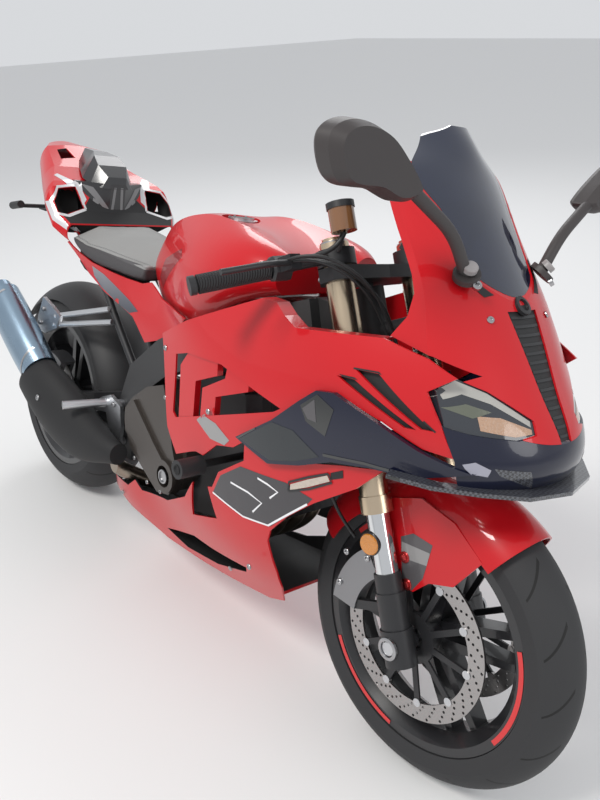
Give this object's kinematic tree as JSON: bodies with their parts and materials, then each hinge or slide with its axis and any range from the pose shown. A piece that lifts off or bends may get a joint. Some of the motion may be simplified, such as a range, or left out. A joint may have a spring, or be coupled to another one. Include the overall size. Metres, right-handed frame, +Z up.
{
  "type": "sport motorcycle",
  "caption": "Faired sport motorcycle leaning on its side stand, with turning wheels, steered fork and folding stand.",
  "frame": {"origin": "middle of the leaning machine's box, on the floor", "axes": "+X forward, +Y to the rider's left, +Z up"},
  "size_m": [2.0449, 0.84, 1.2316],
  "materials": {
    "amber_cup": "amber plastic",
    "bodywork_red": "gloss red lacquer",
    "caliper_grey": "satin grey",
    "chain_steel": "oiled steel",
    "clamp_black": "black anodised",
    "disc_steel": "ground steel",
    "engine_bronze": "dark bronze-grey casting",
    "exhaust_steel": "brushed steel, blue tint",
    "fork_black": "satin black",
    "frame_grey": "dark grey cast alloy",
    "gloss_black": "gloss blue-black lacquer",
    "gold_tube": "gold anodised",
    "lamp_red": "red lens",
    "lens_smoke": "smoked lens",
    "panel_black": "moulded black",
    "pipe_steel": "heat-tinted steel",
    "rubber_black": "matt rubber",
    "seat_vinyl": "grained grey vinyl",
    "silver_alloy": "bead-blasted silver",
    "slider_chrome": "hard chrome",
    "smoke_screen": "smoked acrylic",
    "tyre_rubber": "matt black rubber",
    "wheel_black": "satin black powder coat"
  },
  "bodies": {
    "chassis": {"chain": "chain_steel", "cowl_stay": "fork_black", "dash": "panel_black", "engine": "engine_bronze", "engine_covers": "engine_bronze", "exhaust_headers": "pipe_steel", "fairing_sides": "bodywork_red", "footrests": "silver_alloy", "frame": "frame_grey", "frame_sliders": "panel_black", "headlights": "lens_smoke", "lower_fairings": "bodywork_red", "mirrors": "panel_black", "nose_cowl": "bodywork_red", "nose_duct": "panel_black", "pivot_shaft": "silver_alloy", "plate_holder": "panel_black", "radiator": "panel_black", "rear_axle": "silver_alloy", "rear_caliper": "caliper_grey", "rear_hugger": "panel_black", "rear_shock": "clamp_black", "rider_seat": "seat_vinyl", "seat_cowl": "gloss_black", "side_covers": "bodywork_red", "silencer": "exhaust_steel", "silencer_shield": "panel_black", "subframe": "fork_black", "swingarm": "fork_black", "tail_cowl": "bodywork_red", "tail_light": "lamp_red", "tank": "bodywork_red", "tank_cap": "silver_alloy", "windscreen": "smoke_screen", "winglets": "gloss_black"},
    "steering": {"fork_tubes": "gold_tube", "fork_sliders": "slider_chrome", "fork_bottoms": "fork_black", "front_axle": "silver_alloy", "front_calipers": "caliper_grey", "triple_clamps": "clamp_black", "handlebars": "clamp_black", "grips": "rubber_black", "controls": "clamp_black", "brake_reservoir": "amber_cup", "front_fender": "bodywork_red"},
    "front_wheel": {"front_rim": "wheel_black", "front_tyre": "tyre_rubber", "front_discs": "disc_steel"},
    "rear_wheel": {"rear_rim": "wheel_black", "rear_tyre": "tyre_rubber", "rear_disc": "disc_steel", "rear_sprocket": "chain_steel"},
    "stand": {"side_stand": "fork_black"}
  },
  "joints": [
    {"name": "steering_head", "type": "hinge", "parent": "chassis", "child": "steering", "pos_m": [0.45353, -0.06278, 0.78707], "axis": [-0.4147, 0.1923, 0.8894], "range_deg": [-25, 25]},
    {"name": "front_wheel_spin", "type": "hinge", "parent": "steering", "child": "front_wheel", "pos_m": [0.7225, -0.16925, 0.29463], "axis": [0, 0.9774, -0.2113], "continuous": true},
    {"name": "rear_wheel_spin", "type": "hinge", "parent": "chassis", "child": "rear_wheel", "pos_m": [-0.7075, -0.16591, 0.31005], "axis": [0, 0.9774, -0.2113], "continuous": true},
    {"name": "side_stand_fold", "type": "hinge", "parent": "chassis", "child": "stand", "pos_m": [-0.2025, -0.00535, 0.25772], "axis": [-0.084, 0.9869, 0.1377], "range_deg": [0, 110]}
  ]
}
